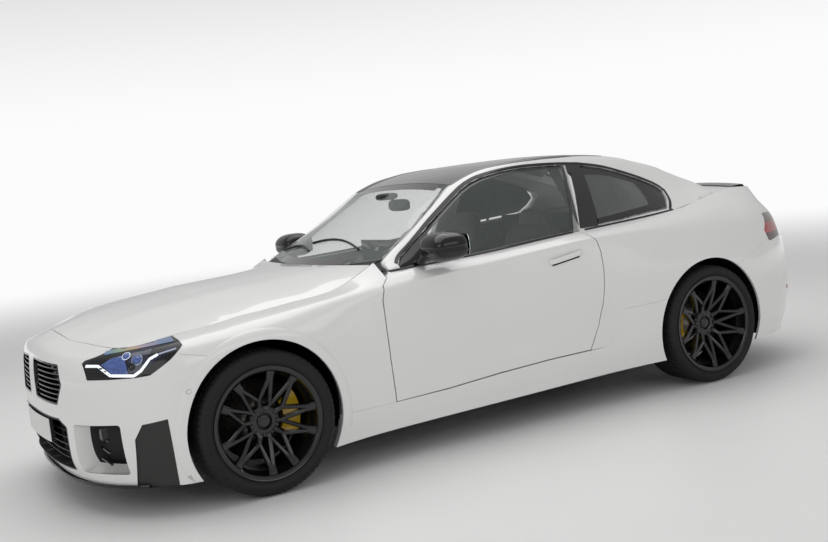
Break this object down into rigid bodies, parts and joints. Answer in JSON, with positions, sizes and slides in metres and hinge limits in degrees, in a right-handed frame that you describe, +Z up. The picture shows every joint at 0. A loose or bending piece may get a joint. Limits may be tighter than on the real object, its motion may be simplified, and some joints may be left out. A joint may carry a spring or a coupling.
{
  "type": "two-door coupe car",
  "caption": "Low two-door coupe with hollow cabin, opening doors, hood and boot lid, and steered and rolling wheels.",
  "frame": {"origin": "on the ground, at the middle of the length and width", "axes": "+X forwards, +Y to the left, +Z up"},
  "size_m": [4.5802, 2.0782, 1.403],
  "materials": {
    "paint_white": "gloss",
    "roof_black": "gloss",
    "trim_black": "gloss",
    "grille_black": "satin",
    "plastic_black": "matte",
    "glass": "clear",
    "lamp_clear": "clear",
    "lamp_red": "gloss",
    "structure_grey": "matte",
    "rubber": "matte",
    "tyre_rubber": "matte",
    "rim_black": "gloss",
    "disc_iron": "brushed",
    "caliper_yellow": "gloss",
    "cast_metal": "rough",
    "engine_metal": "cast",
    "exhaust_steel": "brushed",
    "seat_leather": "grained",
    "cabin_plastic": "grained"
  },
  "bodies": {
    "root": {"front_bumper": "paint_white", "front_trim": "trim_black", "kidney_grilles": "grille_black", "front_fenders": "paint_white", "headlamps": "lamp_clear", "cowl": "plastic_black", "windshield": "glass", "roof_panel": "roof_black", "rear_window": "glass", "quarter_windows": "glass", "roof_frames": "paint_white", "quarter_panels": "paint_white", "side_frames": "structure_grey", "side_skirts": "paint_white", "tail_lamps": "lamp_red", "rear_bumper": "paint_white", "rear_diffuser": "plastic_black", "boot_frame": "structure_grey", "door_seals": "rubber", "front_structure": "structure_grey", "floor_pan": "structure_grey", "engine_block": "engine_metal", "exhaust": "exhaust_steel", "wheel_liners": "plastic_black", "front_suspension": "cast_metal", "rear_suspension": "cast_metal", "rear_calipers": "caliper_yellow", "seats": "seat_leather", "dashboard": "cabin_plastic"},
    "hood": {"hood": "paint_white"},
    "boot_lid": {"boot_lid": "paint_white"},
    "door_left": {"door_left": "paint_white", "door_glass_left": "glass", "door_mirror_left": "trim_black"},
    "door_right": {"door_right": "paint_white", "door_glass_right": "glass", "door_mirror_right": "trim_black"},
    "steering": {"steering_wheel": "seat_leather"},
    "knuckle_left": {"knuckle_left": "cast_metal", "front_caliper_left": "caliper_yellow"},
    "knuckle_right": {"knuckle_right": "cast_metal", "front_caliper_right": "caliper_yellow"},
    "wheel_front_left": {"tyre_front_left": "tyre_rubber", "rim_front_left": "rim_black", "brake_disc_front_left": "disc_iron"},
    "wheel_front_right": {"tyre_front_right": "tyre_rubber", "rim_front_right": "rim_black", "brake_disc_front_right": "disc_iron"},
    "wheel_rear_left": {"tyre_rear_left": "tyre_rubber", "rim_rear_left": "rim_black", "brake_disc_rear_left": "disc_iron"},
    "wheel_rear_right": {"tyre_rear_right": "tyre_rubber", "rim_rear_right": "rim_black", "brake_disc_rear_right": "disc_iron"}
  },
  "joints": [
    {"name": "door_left_hinge", "type": "hinge", "parent": "root", "child": "door_left", "pos_m": [0.805, 0.9, 0.6], "axis": [0, 0, -1], "range_deg": [0, 65]},
    {"name": "door_right_hinge", "type": "hinge", "parent": "root", "child": "door_right", "pos_m": [0.805, -0.9, 0.6], "axis": [0, 0, 1], "range_deg": [0, 65]},
    {"name": "hood_hinge", "type": "hinge", "parent": "root", "child": "hood", "pos_m": [0.748, 0, 0.935], "axis": [0, -1, 0], "range_deg": [0, 48]},
    {"name": "boot_lid_hinge", "type": "hinge", "parent": "root", "child": "boot_lid", "pos_m": [-1.7, 0, 1.095], "axis": [0, 1, 0], "range_deg": [0, 75]},
    {"name": "steer_left", "type": "hinge", "parent": "root", "child": "knuckle_left", "pos_m": [1.455, 0.7235, 0.334], "axis": [0, 0, 1], "range_deg": [-33, 33]},
    {"name": "steer_right", "type": "hinge", "parent": "root", "child": "knuckle_right", "pos_m": [1.455, -0.7235, 0.334], "axis": [0, 0, 1], "range_deg": [-33, 33]},
    {"name": "steering_column", "type": "hinge", "parent": "root", "child": "steering", "pos_m": [0.36, 0.37, 0.815], "axis": [-0.9135, 0, 0.4067], "range_deg": [-430, 430]},
    {"name": "roll_front_left", "type": "hinge", "parent": "knuckle_left", "child": "wheel_front_left", "pos_m": [1.455, 0.8085, 0.334], "axis": [0, 1, 0], "continuous": true},
    {"name": "roll_front_right", "type": "hinge", "parent": "knuckle_right", "child": "wheel_front_right", "pos_m": [1.455, -0.8085, 0.334], "axis": [0, 1, 0], "continuous": true},
    {"name": "roll_rear_left", "type": "hinge", "parent": "root", "child": "wheel_rear_left", "pos_m": [-1.292, 0.8025, 0.336], "axis": [0, 1, 0], "continuous": true},
    {"name": "roll_rear_right", "type": "hinge", "parent": "root", "child": "wheel_rear_right", "pos_m": [-1.292, -0.8025, 0.336], "axis": [0, 1, 0], "continuous": true}
  ],
  "couplings": [
    {"joint": "steer_right", "follows": "steer_left", "ratio": 1},
    {"joint": "steering_column", "follows": "steer_left", "ratio": 13}
  ]
}
